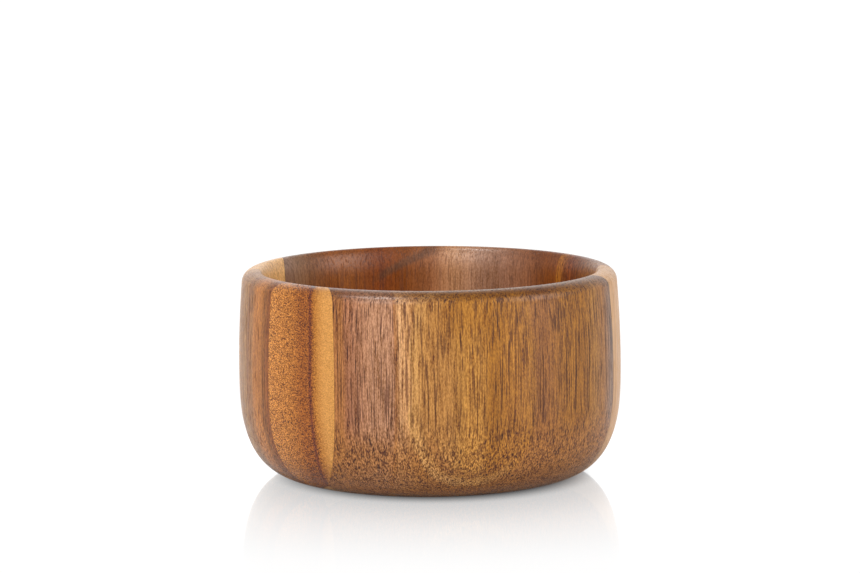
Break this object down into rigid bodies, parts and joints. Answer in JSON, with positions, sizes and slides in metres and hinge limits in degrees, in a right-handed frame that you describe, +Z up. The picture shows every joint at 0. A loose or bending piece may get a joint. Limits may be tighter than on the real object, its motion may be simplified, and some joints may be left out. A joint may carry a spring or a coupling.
{
  "type": "wooden serving bowl",
  "caption": "Deep round serving bowl with a rounded rim and a flat foot, turned from a glued-up blank of acacia boards and end blocks.",
  "frame": {"origin": "centre of the flat foot, on the surface the bowl stands on", "axes": "+Z up along the bowl's turning axis; +X to the right and +Y to the back as the bowl is seen with its end row of blocks on the left"},
  "size_m": [0.16, 0.16, 0.0865],
  "materials": {
    "left_front_acacia": "oiled satin, golden brown",
    "left_middle_acacia": "oiled satin, brown",
    "left_back_acacia": "oiled satin, pale gold",
    "front_acacia": "oiled satin, warm brown",
    "front_inner_acacia": "oiled satin, pale tan",
    "back_inner_acacia": "oiled satin, red brown",
    "back_acacia": "oiled satin, dark brown"
  },
  "bodies": {
    "root": {"left_front_block": "left_front_acacia", "left_middle_block": "left_middle_acacia", "left_back_block": "left_back_acacia", "front_board": "front_acacia", "front_inner_board": "front_inner_acacia", "back_inner_board": "back_inner_acacia", "back_board": "back_acacia"}
  },
  "joints": []
}
